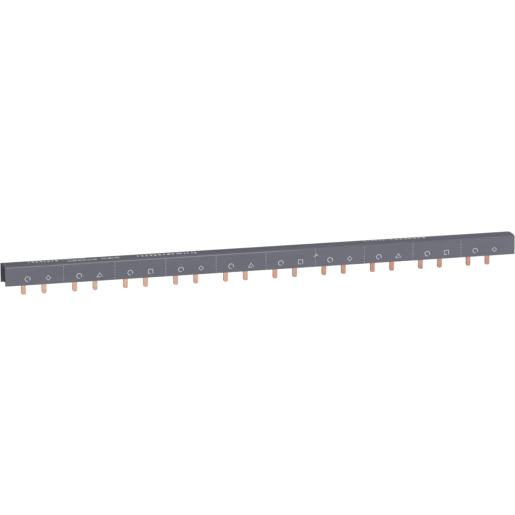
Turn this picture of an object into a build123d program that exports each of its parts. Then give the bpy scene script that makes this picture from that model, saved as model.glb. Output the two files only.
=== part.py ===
from build123d import *
import os

# A comb busbar: four copper combs, one neutral and three phases, nested in one insulating
# profile so that their teeth come out in a single row. All sizes are in millimetres.
# X runs along the bar, the printed face looks along -Y and the teeth point down, along -Z.
# The origin is at mid length, in the plane of the teeth, level with the profile's lower edges.

# The row of devices that the bar feeds
pair_count = 10
phase_count = 3
module_width = 18.0
auxiliary_width = 9.0

# Copper
copper_thickness = 2.0
strip_height = 8.4
tooth_width = 4.0
tooth_reach = 12.0
tip_radius = 1.3
root_radius = 1.0
bend_inner_radius = 1.0

# Insulating profile
wall = 1.2
partition = 2.8
core_wall = 0.9
roof = 1.1
crown_rise = 1.4
skirt_drop = 3.0
end_overhang = 5.8
edge_radius = 0.8
lip_radius = 0.35
mouth_radius = 0.4
inner_radius = 0.3

# Clearances between copper and plastic
side_clearance = 0.2
top_clearance = 0.3
leg_clearance = 0.4
creepage_gap = 4.1

# Beads along the pockets that grip the strips
grip_clearance = 0.05
bead_radius = 0.4
bead_inset = 1.5

# Along the bar
pair_pitch = 2 * module_width + auxiliary_width
comb_length = pair_count * pair_pitch
profile_length = comb_length + 2 * end_overhang

# Across the bar: one lane for each comb, with the neutral in the rear lane, over the teeth
lane_count = phase_count + 1
pocket_width = copper_thickness + 2 * side_clearance
lane_pitch = pocket_width + partition
lane_y = [-(lane_count - 1 - lane) * lane_pitch for lane in range(lane_count)]
tooth_y = lane_y[-1]
front_y = lane_y[0] - pocket_width / 2 - wall
rear_y = tooth_y + pocket_width / 2 + wall
middle_y = (front_y + rear_y) / 2

# Upwards from the lower edges
leg_top = skirt_drop - leg_clearance
leg_level = leg_top - copper_thickness / 2
strip_bottom = leg_top + creepage_gap
strip_top = strip_bottom + strip_height
pocket_top = strip_top + top_clearance
face_height = pocket_top + roof
bend_radius = bend_inner_radius + copper_thickness / 2


def upright(width, bottom, top, y):
    """A rectangle of the section, given by its width, its two levels and its centre."""
    return Pos(y, (bottom + top) / 2) * Rectangle(width, top - bottom)


def outer_section():
    """The outside of the profile: two upright faces and a crowned top between them."""
    walls = Polyline(
        (front_y, face_height),
        (front_y, 0),
        (rear_y, 0),
        (rear_y, face_height),
    )
    crown = ThreePointArc(
        (rear_y, face_height),
        (middle_y, face_height + crown_rise),
        (front_y, face_height),
    )
    outline = make_face([walls, crown])
    shoulders = outline.vertices().sort_by(Axis.Y)[-2:]
    return fillet(shoulders, edge_radius)


def pocket(y):
    """The slot that one strip stands in, open below."""
    slot = upright(pocket_width, 0, pocket_top, y)
    return fillet(slot.vertices().sort_by(Axis.Y)[-2:], inner_radius)


def core(y):
    """The closed hollow inside one partition."""
    hollow = upright(partition - 2 * core_wall, skirt_drop + core_wall, pocket_top, y)
    return fillet(hollow.vertices(), inner_radius)


def beads(y):
    """Two pairs of round beads that narrow a pocket to the thickness of its strip."""
    reach = copper_thickness / 2 + grip_clearance + bead_radius
    levels = (strip_bottom + bead_inset, strip_top - bead_inset)
    return [
        Pos(y + side * reach, level) * Circle(bead_radius)
        for side in (-1, 1)
        for level in levels
    ]


def housing_section():
    """The profile's section: skirts, channel, pockets, hollow partitions and beads."""
    channel_width = rear_y - front_y - 2 * wall
    section = outer_section() - upright(channel_width, 0, skirt_drop, middle_y)
    section -= [pocket(y) for y in lane_y]
    section -= [core(y + lane_pitch / 2) for y in lane_y[:-1]]
    section += [bead for y in lane_y for bead in beads(y)]
    lips = section.vertices().group_by(Axis.Y)[0]
    section = fillet(lips, lip_radius)
    mouths = [v for v in section.vertices() if abs(v.Y - skirt_drop) < 1e-6]
    return fillet(mouths, mouth_radius)


def housing():
    """The insulating profile, extruded in one piece and sawn square at both ends."""
    return extrude(Plane.YZ * housing_section(), profile_length / 2, both=True)


def strip(y, tooth_x):
    """A comb's strip, with a rounded root above each of its teeth."""
    outline = Pos(0, (strip_bottom + strip_top) / 2) * Rectangle(comb_length, strip_height)
    stub = 2 * root_radius
    for x in tooth_x:
        outline += Pos(x, strip_bottom - stub / 2) * Rectangle(tooth_width, stub)
    roots = [
        v
        for v in outline.vertices()
        if abs(v.Y - strip_bottom) < 1e-6 and abs(v.X) < comb_length / 2 - 1e-6
    ]
    outline = fillet(roots, root_radius)
    return Pos(0, y, 0) * extrude(Plane.XZ * outline, copper_thickness / 2, both=True)


def tooth(y, x):
    """One tooth: straight down, or bent back below the partitions into the common row."""
    if y == tooth_y:
        route = Line((y, strip_bottom), (tooth_y, -tooth_reach))
    else:
        route = FilletPolyline(
            (y, strip_bottom),
            (y, leg_level),
            (tooth_y, leg_level),
            (tooth_y, -tooth_reach),
            radius=bend_radius,
        )
    band = extrude(Plane.YZ * trace(route, copper_thickness), tooth_width / 2, both=True)
    blank = Pos(0, (strip_bottom - tooth_reach) / 2) * Rectangle(
        tooth_width, strip_bottom + tooth_reach
    )
    blank = fillet(blank.vertices().sort_by(Axis.Y)[:2], tip_radius)
    blank = extrude(Plane.XZ * blank, rear_y - front_y, both=True)
    return Pos(x, 0, 0) * (band & blank)


def comb(y, tooth_x):
    """One copper comb, stamped from sheet, with its strip on edge in the lane at y."""
    piece = strip(y, tooth_x)
    for x in tooth_x:
        piece += tooth(y, x)
    return piece


pair_x = [(pair - (pair_count - 1) / 2) * pair_pitch for pair in range(pair_count)]
neutral_x = [x - module_width / 2 for x in pair_x]
phase_x = [x + module_width / 2 for x in pair_x]

parts = {"housing": housing(), "neutral_comb": comb(tooth_y, neutral_x)}
for phase in range(phase_count):
    parts[f"phase_{phase + 1}_comb"] = comb(lane_y[phase], phase_x[phase::phase_count])

os.makedirs("parts", exist_ok=True)
for name, part in parts.items():
    export_step(part, f"parts/{name}.step")
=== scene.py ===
import math

import bmesh
import bpy
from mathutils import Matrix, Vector
from mathutils.bvhtree import BVHTree


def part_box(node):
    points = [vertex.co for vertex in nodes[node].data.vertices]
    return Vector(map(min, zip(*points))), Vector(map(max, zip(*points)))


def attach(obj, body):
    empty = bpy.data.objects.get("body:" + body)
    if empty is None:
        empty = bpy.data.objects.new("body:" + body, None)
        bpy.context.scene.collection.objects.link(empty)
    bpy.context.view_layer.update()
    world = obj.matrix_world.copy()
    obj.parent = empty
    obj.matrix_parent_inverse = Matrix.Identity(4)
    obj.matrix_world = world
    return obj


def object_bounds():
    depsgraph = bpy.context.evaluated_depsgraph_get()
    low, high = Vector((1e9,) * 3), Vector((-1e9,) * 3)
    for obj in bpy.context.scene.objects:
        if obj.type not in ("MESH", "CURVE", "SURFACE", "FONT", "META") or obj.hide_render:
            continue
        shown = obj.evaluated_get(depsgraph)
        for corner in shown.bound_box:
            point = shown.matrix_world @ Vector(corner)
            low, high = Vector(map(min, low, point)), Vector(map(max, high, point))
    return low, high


# The looks of a comb busbar: camera, light, finishes and print. Lengths are in metres and angles
# in degrees. The printed face looks along -Y and the teeth point down.

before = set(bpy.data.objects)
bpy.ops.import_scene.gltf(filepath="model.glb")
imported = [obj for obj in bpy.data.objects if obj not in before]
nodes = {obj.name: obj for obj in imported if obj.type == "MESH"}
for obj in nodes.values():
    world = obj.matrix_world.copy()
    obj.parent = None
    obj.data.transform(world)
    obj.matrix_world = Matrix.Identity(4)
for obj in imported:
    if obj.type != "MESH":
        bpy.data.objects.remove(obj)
cad_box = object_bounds()
low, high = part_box("housing")

MM = 0.001

# The row of devices that the bar feeds
pair_count = 10
phase_count = 3
module_width = 18 * MM
auxiliary_width = 9 * MM
pair_pitch = 2 * module_width + auxiliary_width
pair_x = [(pair - (pair_count - 1) / 2) * pair_pitch for pair in range(pair_count)]
neutral_x = [x - module_width / 2 for x in pair_x]
phase_x = [x + module_width / 2 for x in pair_x]

# The housing's faces
crown_rise = 1.4 * MM
front_y = low.y
face_height = high.z - crown_rise
tooth_tip = cad_box[0][2]

# Along the bar, left of this place the front shoulder carries a painted highlight, and around it
# the copper turns redder to the right
change_x = 50 * MM

# The painted highlight along the front shoulder: how far it lies below the face's upper edge, how
# far up and down from there it is full and ends, and how far back from the face it is full and
# ends
highlight_drop = 0.45 * MM
highlight_core = 0.2 * MM
highlight_reach = 0.5 * MM
highlight_depth = 0.3 * MM
highlight_fade = 0.6 * MM

# The level from which painted shade darkens the teeth down to their tips
tip_shade_top = -3 * MM

# The fine break of the sharp edges
housing_bevel = 0.08 * MM
comb_bevel = 0.12 * MM
sharp_angle = 40
weld_distance = 0.001 * MM

# The print on the front face
ink_height = 0.03 * MM
ink_root = 0.02 * MM
mark_level = 5.5 * MM
mark_line = 0.38 * MM
diamond_line = 0.8 * mark_line
corner_line = 0.9 * mark_line
mark_squash = 0.94
ring_diameter = 4.75 * MM
diamond_width = 4.8 * MM
triangle_base = 5.3 * MM
triangle_height = 4.1 * MM
square_side = 4.3 * MM
stencil_gap = 1.5 * MM
ring_opening = -56
mitre_limit = 0.35
dash_count = 6
dash_length = 1.35 * MM
dash_width = 0.16 * MM
dash_pitch = 2.6 * MM
dash_start = 1.4 * MM
scissors_x = pair_pitch
scissors_level = 9.9 * MM
scissors_tilt = 228
scissors_swing = 27
blade_length = 2.7 * MM
shank_length = 1.2 * MM
shank_width = 0.3 * MM
finger_radius = 0.7 * MM
finger_line = 0.16 * MM
finger_steps = 24
ring_steps = 40

# The blades' thickness against that of the other print
lower_blade = 1.2
upper_blade = 1.4

# The dashes that make room for the scissors, counted from the bottom
room_start = 3
room_end = 5

# Plain numbers on the crown: the text, and its two ends, middle line and height in millimetres
crown_numbers = [
    ("1 2 3 4 5 6 7 8", -208.6, -182.8, -7.6, 5.8),
    ("0 1 2 3 4 5 6 7 8 9", -180.2, -159.2, -6.4, 3.0),
    ("10 20 30 40 50 60", -175.0, -149.5, -11.6, 2.6),
    ("70 80 90", -145.1, -129.2, -10.4, 3.0),
    ("1 2 3 4 5 6 7 8 9 10 11 12", -113.2, -60.5, -9.4, 5.0),
    ("0 1 2 3 4 5", 93.0, 112.4, -6.4, 3.8),
    ("1 2 3 4 5 6 7 8", 118.0, 149.8, -7.4, 4.4),
]

# How finely the numbers are cut to follow the crown, and how their outlines are drawn
number_step = 0.7 * MM
number_join = 0.01 * MM
glyph_steps = 5
glyph_swell = 0.02
space_width = 0.8

# The camera, fitted to the photograph, with its lens and sensor in millimetres
camera_azimuth = 16.29
camera_elevation = 12.5
camera_distance = 2.7
camera_lens = 215.74
camera_aim = (-2.42 * MM, 0, 7.57 * MM)
sensor_width = 36
nearest_seen = 0.05
farthest_seen = 100

# The floor, well below the bar
floor_level = -0.3
floor_size = 30
floor_shade = 0.62

# Light
world_level = 0.17
sweep_top = 0.085
sweep_fade = 0.02
floor_glow = 0.54
side_azimuth = 60
side_elevation = 10
side_distance = 0.8
side_power = 2.0
side_width = 0.6
side_height = 0.4


def add(tree, kind, inputs=None, **settings):
    """A new node with its settings, and its inputs set or linked by name or number."""
    node = tree.nodes.new(kind)
    for key, value in settings.items():
        setattr(node, key, value)
    for key, value in (inputs or {}).items():
        if isinstance(value, bpy.types.NodeSocket):
            tree.links.new(value, node.inputs[key])
        else:
            node.inputs[key].default_value = value
    return node


def math_node(tree, operation, first, second):
    """The sum, product or other result of two values."""
    return add(tree, "ShaderNodeMath", {0: first, 1: second}, operation=operation).outputs[0]


def noise(tree, place, scale, detail, roughness=0.5):
    """Noise of the given scale at a place."""
    inputs = {"Vector": place, "Scale": scale, "Detail": detail, "Roughness": roughness}
    return add(tree, "ShaderNodeTexNoise", inputs).outputs["Fac"]


def stretched(tree, place, scale):
    """A place whose axes are scaled, so that a texture is drawn out along one of them."""
    return add(tree, "ShaderNodeMapping", {"Vector": place, "Scale": scale}).outputs["Vector"]


def remap(tree, value, low_in, high_in, low_out, high_out):
    """A value taken from one range to another."""
    inputs = {
        "Value": value,
        "From Min": low_in,
        "From Max": high_in,
        "To Min": low_out,
        "To Max": high_out,
    }
    return add(tree, "ShaderNodeMapRange", inputs).outputs["Result"]


def blend(tree, factor, first, second, mode="MIX"):
    """A colour between two colours, or by another mode the second laid over the first."""
    node = add(tree, "ShaderNodeMix", data_type="RGBA", blend_type=mode)
    for key, value in {0: factor, 6: first, 7: second}.items():
        if isinstance(value, bpy.types.NodeSocket):
            tree.links.new(value, node.inputs[key])
        elif key == 0:
            node.inputs[key].default_value = value
        else:
            node.inputs[key].default_value = (*value, 1)
    return node.outputs[2]


def new_material(name, **uniform):
    """A material with nothing but its shader, whose uniform values are on its own sockets."""
    material = bpy.data.materials.new(name)
    material.use_nodes = True
    tree = material.node_tree
    shader = tree.nodes["Principled BSDF"]
    for key, value in uniform.items():
        shader.inputs[key.replace("_", " ")].default_value = value
    return material, tree, shader


def bump(tree, shader, layers):
    """Bump from several heights, each with its depth, one over the other."""
    normal = None
    for height, depth in layers:
        inputs = {"Height": height, "Distance": depth, "Strength": 1.0}
        if normal is not None:
            inputs["Normal"] = normal
        normal = add(tree, "ShaderNodeBump", inputs).outputs["Normal"]
    tree.links.new(normal, shader.inputs["Normal"])


def plastic_material():
    """Dark grey extruded plastic: fine lines along the bar, fine grain, sawn ends, painted
    shoulder highlight.
    """
    material, tree, shader = new_material(
        "extruded_plastic", Metallic=0.0, IOR=1.5, Specular_IOR_Level=0.3
    )
    place = add(tree, "ShaderNodeTexCoord").outputs["Object"]
    normal = add(tree, "ShaderNodeNewGeometry").outputs["Normal"]
    facing = add(tree, "ShaderNodeSeparateXYZ", {0: normal}).outputs
    sawn = math_node(tree, "GREATER_THAN", math_node(tree, "ABSOLUTE", facing["X"], 0), 0.8)
    lines = noise(tree, stretched(tree, place, (14, 1900, 1900)), 1, 4, 0.6)
    cloud = noise(tree, stretched(tree, place, (18, 60, 60)), 1, 2)
    grain = noise(tree, place, 4200, 3, 0.6)
    saw = noise(tree, stretched(tree, place, (400, 3200, 120)), 1, 3, 0.6)
    shade = remap(tree, math_node(tree, "ADD", lines, cloud), 0.6, 1.4, 0.0, 1.0)
    colour = blend(tree, shade, (0.108, 0.110, 0.139), (0.130, 0.132, 0.163))
    dust = remap(tree, facing["Z"], 0.7, 1.0, 0.0, 0.1)
    colour = blend(tree, dust, colour, (0.19, 0.175, 0.15))
    # Painted highlight: a lighter line along the front shoulder on the left part of the bar, with
    # lower roughness there too
    shoulder_highlight = painted_shoulder_highlight(tree, place, lines)
    colour = blend(tree, shoulder_highlight, colour, (0.21, 0.21, 0.245))
    cut = blend(tree, saw, (0.080, 0.090, 0.113), (0.123, 0.138, 0.163))
    tree.links.new(blend(tree, sawn, colour, cut), shader.inputs["Base Color"])
    satin = remap(tree, math_node(tree, "ADD", lines, grain), 0.6, 1.4, 0.42, 0.54)
    satin = math_node(tree, "SUBTRACT", satin, math_node(tree, "MULTIPLY", shoulder_highlight, 0.08))
    matte = math_node(tree, "ADD", satin, math_node(tree, "MULTIPLY", sawn, 0.4))
    tree.links.new(matte, shader.inputs["Roughness"])
    whole = math_node(tree, "SUBTRACT", 1.0, sawn)
    drawn = math_node(tree, "MULTIPLY", lines, whole)
    cutting = math_node(tree, "MULTIPLY", saw, sawn)
    bump(tree, shader, [(drawn, 0.02 * MM), (cutting, 0.06 * MM), (grain, 0.006 * MM)])
    return material


def painted_shoulder_highlight(tree, place, lines):
    """How strong the painted highlight on the front shoulder is: along the left part of the bar,
    with gaps.
    """
    parts = add(tree, "ShaderNodeSeparateXYZ", {0: place}).outputs
    edge = face_height - highlight_drop
    up = math_node(tree, "ABSOLUTE", math_node(tree, "SUBTRACT", parts["Z"], edge), 0)
    near = remap(tree, up, highlight_core, highlight_reach, 1.0, 0.0)
    front = remap(tree, parts["Y"], front_y + highlight_depth, front_y + highlight_fade, 1.0, 0.0)
    left = remap(tree, parts["X"], change_x - pair_pitch, change_x, 1.0, 0.0)
    patchy = remap(tree, lines, 0.3, 0.6, 0.7, 1.0)
    band = math_node(tree, "MULTIPLY", near, front)
    return math_node(tree, "MULTIPLY", math_node(tree, "MULTIPLY", band, left), patchy)


def copper_material():
    """Rolled and stamped copper: brushed faces, shear faces darkened partly by their finish and
    partly with painted shade, and a slight tarnish in patches.
    """
    material, tree, shader = new_material(
        "stamped_copper", Metallic=1.0, Specular_Tint=(0.75, 0.62, 0.55, 1)
    )
    place = add(tree, "ShaderNodeTexCoord").outputs["Object"]
    normal = add(tree, "ShaderNodeNewGeometry").outputs["Normal"]
    facing = add(tree, "ShaderNodeSeparateXYZ", {0: normal}).outputs["X"]
    sheared_shaded = math_node(tree, "GREATER_THAN", math_node(tree, "ABSOLUTE", facing, 0), 0.7)
    parts = add(tree, "ShaderNodeSeparateXYZ", {0: place}).outputs
    redder = remap(tree, parts["X"], change_x - 2 * pair_pitch, change_x + pair_pitch, 0.2, 0.75)
    # Painted shade: the teeth darken towards their tips
    tip = remap(tree, parts["Z"], tip_shade_top, tooth_tip, 0.0, 0.8)
    rolled = noise(tree, stretched(tree, place, (2600, 2600, 160)), 1, 3, 0.6)
    shear = noise(tree, stretched(tree, place, (300, 3800, 300)), 1, 3, 0.6)
    patches = noise(tree, place, 420, 3, 0.55)
    specks = noise(tree, place, 2600, 2, 0.5)
    tarnish = remap(tree, patches, 0.35, 0.7, 0.0, 1.0)
    colour = blend(tree, tarnish, (0.632, 0.413, 0.314), (0.533, 0.327, 0.241))
    streak = remap(tree, rolled, 0.35, 0.65, 0.0, 0.35)
    colour = blend(tree, streak, colour, (0.70, 0.49, 0.38))
    colour = blend(tree, tip, colour, (0.465, 0.29, 0.22))
    colour = blend(tree, redder, colour, (0.80, 0.585, 0.59), "MULTIPLY")
    # The shear faces are darker, partly for their rough cut and partly as painted shade
    cut = blend(tree, shear, (0.31, 0.185, 0.14), (0.46, 0.285, 0.215))
    tree.links.new(blend(tree, sheared_shaded, colour, cut), shader.inputs["Base Color"])
    dull = remap(tree, math_node(tree, "ADD", patches, specks), 0.7, 1.3, 0.33, 0.45)
    dull = math_node(tree, "ADD", dull, math_node(tree, "MULTIPLY", sheared_shaded, 0.25))
    tree.links.new(dull, shader.inputs["Roughness"])
    bump(tree, shader, [(rolled, 0.008 * MM), (shear, 0.01 * MM), (specks, 0.008 * MM)])
    return material


def ink_material():
    """White printing ink, thin enough for the grey below to show through in places."""
    material, tree, shader = new_material(
        "printing_ink", Metallic=0.0, IOR=1.5, Specular_IOR_Level=0.25
    )
    place = add(tree, "ShaderNodeTexCoord").outputs["Object"]
    cover = noise(tree, place, 2400, 4, 0.65)
    grain = noise(tree, place, 6000, 2)
    thin = remap(tree, cover, 0.36, 0.6, 0.72, 1.0)
    colour = blend(tree, thin, (0.32, 0.32, 0.35), (0.78, 0.78, 0.81))
    tree.links.new(colour, shader.inputs["Base Color"])
    tree.links.new(remap(tree, grain, 0.3, 0.7, 0.5, 0.68), shader.inputs["Roughness"])
    bump(tree, shader, [(cover, 0.01 * MM), (grain, 0.004 * MM)])
    return material


def floor_material():
    """A pale floor, lifted to white for the camera, reflections and transmission."""
    material, tree, shader = new_material("pale_floor", Roughness=1.0, Specular_IOR_Level=0.0)
    shader.inputs["Base Color"].default_value = (floor_shade, floor_shade, floor_shade, 1)
    glow = add(tree, "ShaderNodeEmission", {"Strength": floor_glow})
    seen = seen_ray(tree)
    lift = add(tree, "ShaderNodeMixShader", {0: seen, 2: glow.outputs[0]})
    both = add(tree, "ShaderNodeAddShader", {0: shader.outputs[0], 1: lift.outputs[0]})
    tree.links.new(both.outputs[0], tree.nodes["Material Output"].inputs["Surface"])
    return material


def seen_ray(tree):
    """One for a ray of the camera, a reflection or a transmission, and otherwise nought."""
    path = add(tree, "ShaderNodeLightPath").outputs
    seen = math_node(tree, "MAXIMUM", path["Is Camera Ray"], path["Is Glossy Ray"])
    return math_node(tree, "MAXIMUM", seen, path["Is Transmission Ray"])


def make_world():
    """A plain grey studio, with the white of the floor carried up just past the horizon."""
    world = bpy.data.worlds.new("studio")
    world.use_nodes = True
    bpy.context.scene.world = world
    tree = world.node_tree
    background = tree.nodes["Background"]
    background.inputs["Color"].default_value = (1, 1, 1, 1)
    direction = add(tree, "ShaderNodeTexCoord").outputs["Generated"]
    height = add(tree, "ShaderNodeSeparateXYZ", {0: direction}).outputs["Z"]
    sweep = remap(tree, height, sweep_top, sweep_top + sweep_fade, 1.0, 0.0)
    white = math_node(tree, "MULTIPLY", sweep, seen_ray(tree))
    strength = remap(tree, white, 0.0, 1.0, world_level, 1.0)
    tree.links.new(strength, background.inputs["Strength"])


def make_sun(name, azimuth, elevation, level, angle):
    """A soft lamp far away that lights a face turned to it at the given level."""
    data = bpy.data.lights.new(name, "SUN")
    data.energy = level * math.pi
    data.angle = math.radians(angle)
    lamp = bpy.data.objects.new(name, data)
    bpy.context.scene.collection.objects.link(lamp)
    lamp.rotation_euler = towards(azimuth, elevation).to_track_quat("Z", "Y").to_euler()


def towards(azimuth, elevation):
    """The direction to a lamp or camera, turned to the right of the front and up, in degrees."""
    a = math.radians(azimuth)
    e = math.radians(elevation)
    return Vector((math.sin(a) * math.cos(e), -math.cos(a) * math.cos(e), math.sin(e)))


def make_side_lamp():
    """A broad lamp at the right, which lifts that end of the bar a little."""
    data = bpy.data.lights.new("side_lamp", "AREA")
    data.shape = "RECTANGLE"
    data.size = side_width
    data.size_y = side_height
    data.energy = side_power
    lamp = bpy.data.objects.new("side_lamp", data)
    bpy.context.scene.collection.objects.link(lamp)
    away = towards(side_azimuth, side_elevation)
    lamp.location = Vector((high.x, 0, 0)) + away * side_distance
    lamp.rotation_euler = away.to_track_quat("Z", "Y").to_euler()


def make_camera():
    """The camera at the photograph's viewing angle."""
    data = bpy.data.cameras.new("camera")
    data.lens = camera_lens
    data.sensor_width = sensor_width
    data.clip_start = nearest_seen
    data.clip_end = farthest_seen
    camera = bpy.data.objects.new("camera", data)
    bpy.context.scene.collection.objects.link(camera)
    back = towards(-camera_azimuth, camera_elevation)
    camera.location = Vector(camera_aim) + back * camera_distance
    camera.rotation_euler = back.to_track_quat("Z", "Y").to_euler()
    bpy.context.scene.camera = camera


def make_floor():
    """The plain floor below the bar."""
    mesh = bpy.data.meshes.new("floor")
    build = bmesh.new()
    bmesh.ops.create_grid(build, x_segments=4, y_segments=4, size=floor_size / 2)
    build.to_mesh(mesh)
    build.free()
    floor = bpy.data.objects.new("floor", mesh)
    floor.location.z = floor_level
    bpy.context.scene.collection.objects.link(floor)
    mesh.materials.append(floor_material())


def stroke(points, width, closed=False):
    """The faces of a line of even width along points in a plane, with mitred corners."""
    count = len(points)
    left, right = [], []
    for i, point in enumerate(points):
        before = points[i - 1] if closed or i > 0 else None
        after = points[(i + 1) % count] if closed or i < count - 1 else None
        into = (point - before).normalized() if before is not None else None
        out = (after - point).normalized() if after is not None else None
        into = out if into is None else into
        out = into if out is None else out
        middle = (into + out).normalized()
        side = Vector((-middle.y, middle.x))
        reach = width / 2 / max(mitre_limit, middle.dot(into))
        left.append(point + side * reach)
        right.append(point - side * reach)
    last = count if closed else count - 1
    steps = [(i, (i + 1) % count) for i in range(last)]
    return [(right[i], right[j], left[j], left[i]) for i, j in steps]


def arc(centre, radius, start, stop, steps=ring_steps):
    """Points on an arc, with its angles in degrees from the right, turning left."""
    turns = [math.radians(start + (stop - start) * i / steps) for i in range(steps + 1)]
    return [centre + radius * Vector((math.cos(t), math.sin(t))) for t in turns]


def ring(x):
    """The neutral's ring, open at the lower right."""
    radius = (ring_diameter - mark_line) / 2
    opening = math.degrees(stencil_gap / radius)
    start = ring_opening + opening / 2
    return stroke(arc(Vector((x, mark_level)), radius, start, start + 360 - opening), mark_line)


def diamond(x):
    """The first phase's diamond."""
    reach = diamond_width / 2 - mark_line * math.sqrt(0.5)
    centre = Vector((x, mark_level))
    ways = ((1, 0), (0, 1), (-1, 0), (0, -1))
    return stroke([centre + reach * Vector(way) for way in ways], diamond_line, closed=True)


def triangle(x):
    """The second phase's triangle, open at the right end of its base."""
    foot = mark_level - triangle_height / 2
    half = (triangle_base - mark_line) / 2
    corners = [
        Vector((x + half, foot)),
        Vector((x, foot + triangle_height - mark_line)),
        Vector((x - half, foot)),
        Vector((x + half - stencil_gap, foot)),
    ]
    return stroke(corners, corner_line)


def square(x):
    """The third phase's square, open at the right end of its lower side."""
    half = (square_side - mark_line) / 2
    corners = [
        Vector((x + half, mark_level - half - mark_line / 2)),
        Vector((x + half, mark_level + half)),
        Vector((x - half, mark_level + half)),
        Vector((x - half, mark_level - half)),
        Vector((x + half - stencil_gap, mark_level - half)),
    ]
    return stroke(corners, corner_line)


def cut_line(x, first=0, last=dash_count):
    """One dashed line across the face, where the bar may be cut."""
    faces = []
    for dash in range(first, last):
        centre = dash_start + dash * dash_pitch
        ends = [Vector((x, centre + side * dash_length / 2)) for side in (-1, 1)]
        faces += stroke(ends, dash_width)
    return faces


def scissors_half(side):
    """One half of a small open pair of scissors: its finger ring, and its shank with the blade."""
    pivot = Vector((scissors_x, scissors_level))
    turn = math.radians(scissors_tilt + side * scissors_swing)
    aim = Vector((math.cos(turn), math.sin(turn)))
    across = Vector((-aim.y, aim.x)) * shank_width / 2
    heel = pivot - aim * shank_length
    tip = pivot + aim * blade_length
    middle = heel - aim * finger_radius
    loop = arc(middle, finger_radius, 0, 360, finger_steps)[:-1]
    blade = (heel - across, pivot - across, tip, pivot + across, heel + across)
    return stroke(loop, finger_line, closed=True), [blade]


def raise_faces(build, faces, thickness=1.0):
    """Faces in the plane of the front, joined where they share corners, as a thin plate of ink."""
    corners = {}
    for point in (p for face in faces for p in face):
        if tuple(point) not in corners:
            place = (point.x, front_y + ink_root * thickness, point.y)
            corners[tuple(point)] = build.verts.new(place)
    flat = [build.faces.new([corners[tuple(p)] for p in face]) for face in faces]
    for part in bmesh.ops.extrude_face_region(build, geom=flat)["geom"]:
        if isinstance(part, bmesh.types.BMVert):
            part.co.y = front_y - ink_height * thickness


def add_piece(name, build, material):
    """A finished mesh as a piece that rides with the bar."""
    bmesh.ops.recalc_face_normals(build, faces=build.faces)
    mesh = bpy.data.meshes.new(name)
    build.to_mesh(mesh)
    build.free()
    mesh.materials.append(material)
    piece = bpy.data.objects.new(name, mesh)
    bpy.context.scene.collection.objects.link(piece)
    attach(piece, "root")


def print_front(name, faces, ink):
    """Flat faces printed on the front of the housing."""
    build = bmesh.new()
    raise_faces(build, faces)
    add_piece(name, build, ink)


def print_scissors(ink):
    """The scissors, with each blade a little thicker than what it crosses."""
    build = bmesh.new()
    for side, thickness in ((-1, lower_blade), (1, upper_blade)):
        loop, blade = scissors_half(side)
        raise_faces(build, loop)
        raise_faces(build, blade, thickness)
    add_piece("scissors", build, ink)


def flat_text(text):
    """The faces of a line of text, flat, as a new mesh."""
    curve = bpy.data.curves.new("text", "FONT")
    curve.body = text
    curve.resolution_u = glyph_steps
    curve.space_word = space_width
    curve.offset = glyph_swell
    carrier = bpy.data.objects.new("text", curve)
    bpy.context.scene.collection.objects.link(carrier)
    graph = bpy.context.evaluated_depsgraph_get()
    mesh = bpy.data.meshes.new_from_object(carrier.evaluated_get(graph))
    bpy.data.objects.remove(carrier)
    return mesh


def place_text(build, text, first, last, middle, height):
    """A line of text in the plane of the crown, fitted to its ends and its height."""
    before = set(build.verts)
    build.from_mesh(flat_text(text))
    new = [v for v in build.verts if v not in before]
    left = min(v.co.x for v in new)
    right = max(v.co.x for v in new)
    foot = min(v.co.y for v in new)
    head = max(v.co.y for v in new)
    for v in new:
        v.co.x = first + (v.co.x - left) / (right - left) * (last - first)
        v.co.y = middle + ((v.co.y - foot) / (head - foot) - 0.5) * height


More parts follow.
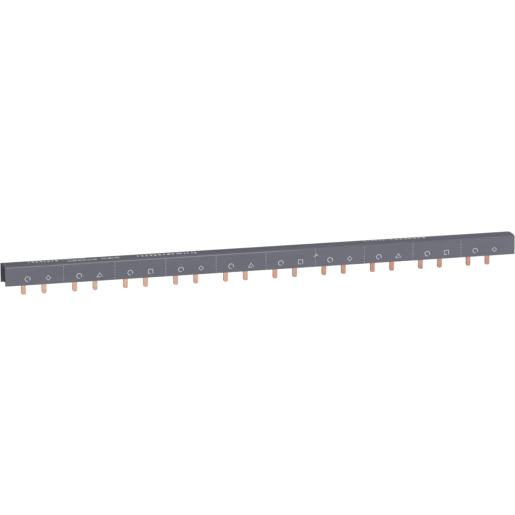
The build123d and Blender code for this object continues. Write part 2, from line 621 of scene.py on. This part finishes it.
def print_crown(ink):
    """Plain numbers printed along the crown, cut fine enough to follow its curve."""
    build = bmesh.new()
    for text, *sizes in crown_numbers:
        place_text(build, text, *(size * MM for size in sizes))
    y = low.y
    while y < high.y:
        everything = build.verts[:] + build.edges[:] + build.faces[:]
        bmesh.ops.bisect_plane(build, geom=everything, plane_co=(0, y, 0), plane_no=(0, 1, 0))
        y += number_step
    bmesh.ops.remove_doubles(build, verts=build.verts[:], dist=number_join)
    bmesh.ops.dissolve_degenerate(build, edges=build.edges[:], dist=number_join)
    crown = BVHTree.FromObject(nodes["housing"], bpy.context.evaluated_depsgraph_get())
    raised = bmesh.ops.extrude_face_region(build, geom=build.faces[:])["geom"]
    upper = {v for v in raised if isinstance(v, bmesh.types.BMVert)}
    for v in build.verts:
        hit = crown.ray_cast(Vector((v.co.x, v.co.y, high.z + MM)), Vector((0, 0, -1)))[0]
        v.co.z = hit.z + (ink_height if v in upper else -ink_root)
    add_piece("crown_numbers", build, ink)


def squashed(faces):
    """The faces of marks, made a little less tall than they are wide."""
    foot = Vector((0, mark_level * (1 - mark_squash)))
    return [[Vector((p.x, p.y * mark_squash)) + foot for p in face] for face in faces]


def print_marks(ink):
    """The rings over the neutral's teeth and each phase's own sign over its teeth."""
    print_front("marks_neutral", squashed([f for x in neutral_x for f in ring(x)]), ink)
    for phase, sign in enumerate((diamond, triangle, square)):
        faces = [f for x in phase_x[phase::phase_count] for f in sign(x)]
        print_front(f"marks_phase_{phase + 1}", squashed(faces), ink)


def print_cut_lines(ink):
    """The dashed lines between the pairs, one of them with the scissors on it."""
    faces = []
    for x in pair_x[:-1]:
        line_x = x + pair_pitch / 2
        if abs(line_x - scissors_x) < MM:
            faces += cut_line(line_x, last=room_start)
            faces += cut_line(line_x, first=room_end)
        else:
            faces += cut_line(line_x)
    print_front("cut_lines", faces, ink)
    print_scissors(ink)


def dress(node, material, width):
    """The finish of a CAD node, with its sharp edges just broken."""
    piece = nodes[node]
    piece.data.materials[0] = material
    weld = piece.modifiers.new("weld", "WELD")
    weld.merge_threshold = weld_distance
    edge = piece.modifiers.new("edge", "BEVEL")
    edge.width = width
    edge.segments = 2
    edge.limit_method = "ANGLE"
    edge.angle_limit = math.radians(sharp_angle)
    edge.harden_normals = True


make_camera()
make_world()
make_floor()
make_sun("key_lamp", azimuth=5, elevation=28, level=0.35, angle=12)
make_sun("low_lamp", azimuth=0, elevation=6, level=0.26, angle=20)
make_sun("top_lamp", azimuth=0, elevation=80, level=0.46, angle=40)
make_side_lamp()

plastic = plastic_material()
copper = copper_material()
ink = ink_material()
dress("housing", plastic, housing_bevel)
for node in nodes:
    if node.endswith("_comb"):
        dress(node, copper, comb_bevel)
print_marks(ink)
print_cut_lines(ink)
print_crown(ink)

bpy.context.scene.view_settings.view_transform = "Standard"
